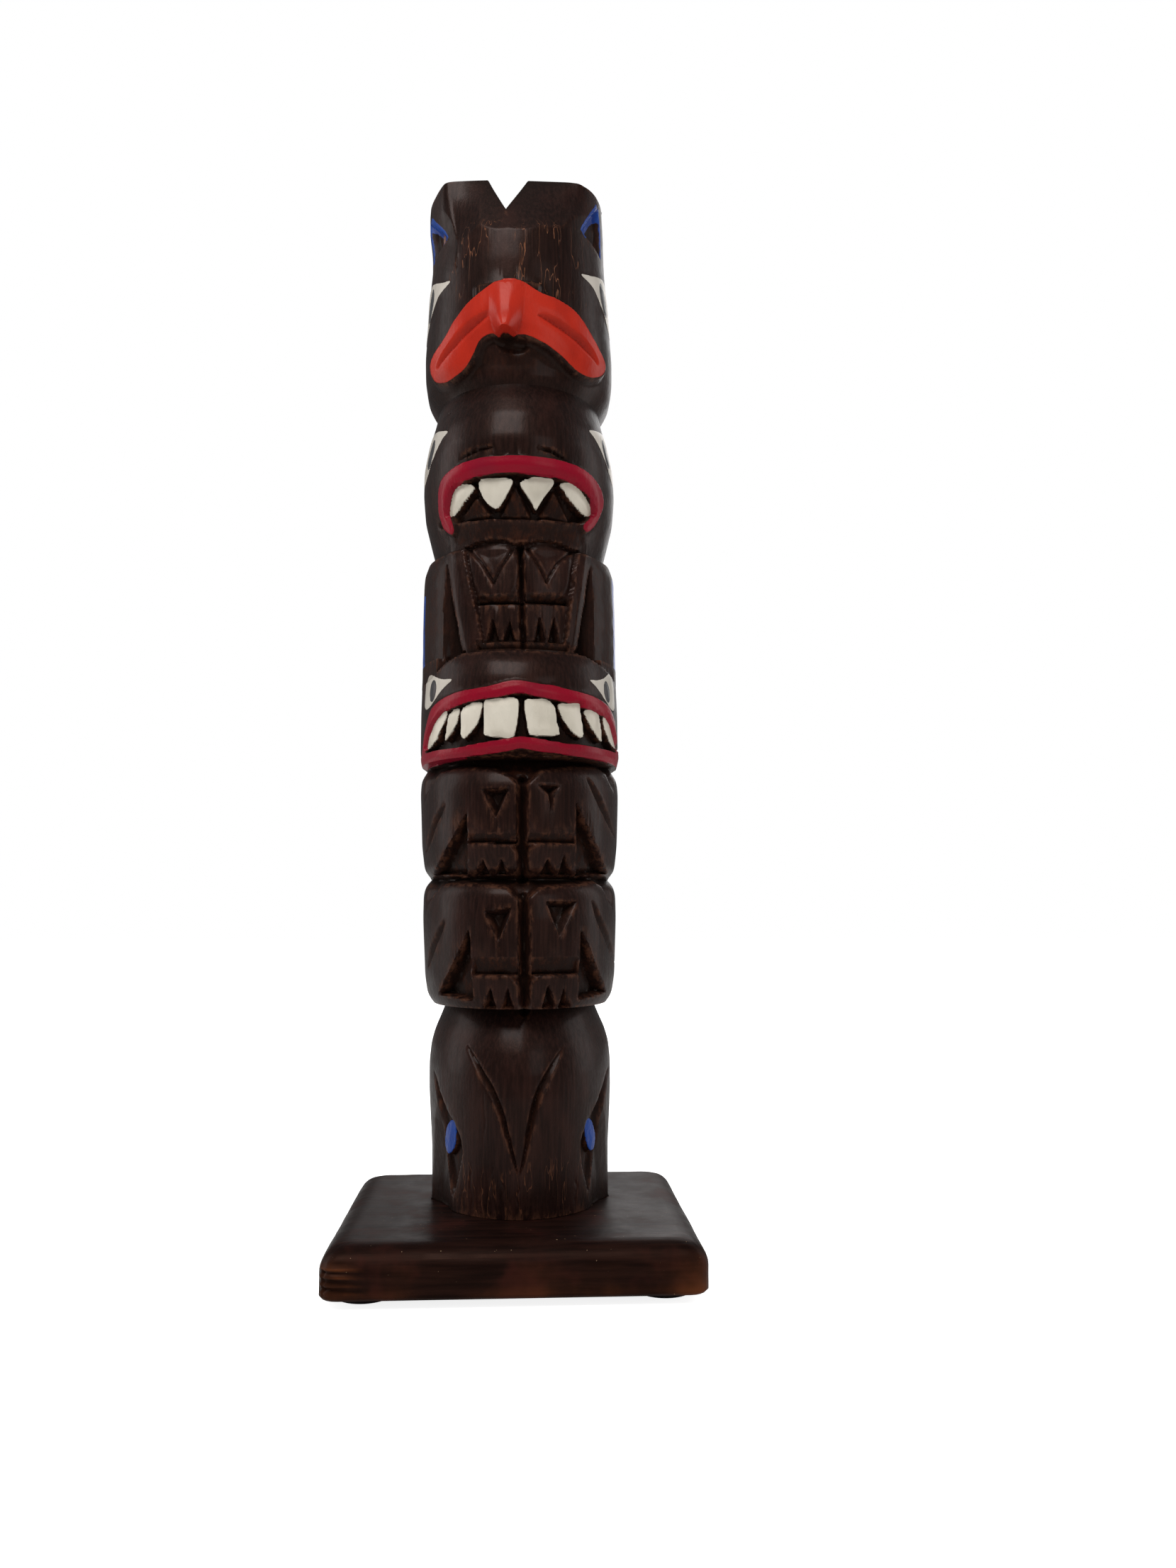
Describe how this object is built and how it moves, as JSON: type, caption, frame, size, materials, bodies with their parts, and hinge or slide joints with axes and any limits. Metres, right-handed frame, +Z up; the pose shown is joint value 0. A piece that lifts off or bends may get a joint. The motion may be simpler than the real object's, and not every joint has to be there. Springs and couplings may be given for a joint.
{
  "type": "totem pole",
  "caption": "Small carved and painted wooden totem pole of stacked animal figures with a flat back, fixed upright on a rectangular board with low round feet.",
  "frame": {"origin": "centre of the whole object's box, on the floor that the feet stand on", "axes": "+Z up the pole, the carved figures face -Y, the flat back faces +Y"},
  "size_m": [0.094, 0.082, 0.305],
  "materials": {
    "pole_wood": "dark brown stain under satin varnish, carved recesses redder, lips and beak painted red, teeth and eyes off-white, small blue marks",
    "board_wood": "dark brown stain under satin varnish, worn amber at the corners",
    "foot_wood": "near-black stained wood, satin"
  },
  "bodies": {
    "root": {"totem_pole": "pole_wood", "base_board": "board_wood", "foot_front_left": "foot_wood", "foot_front_right": "foot_wood", "foot_back_left": "foot_wood", "foot_back_right": "foot_wood"}
  },
  "joints": []
}
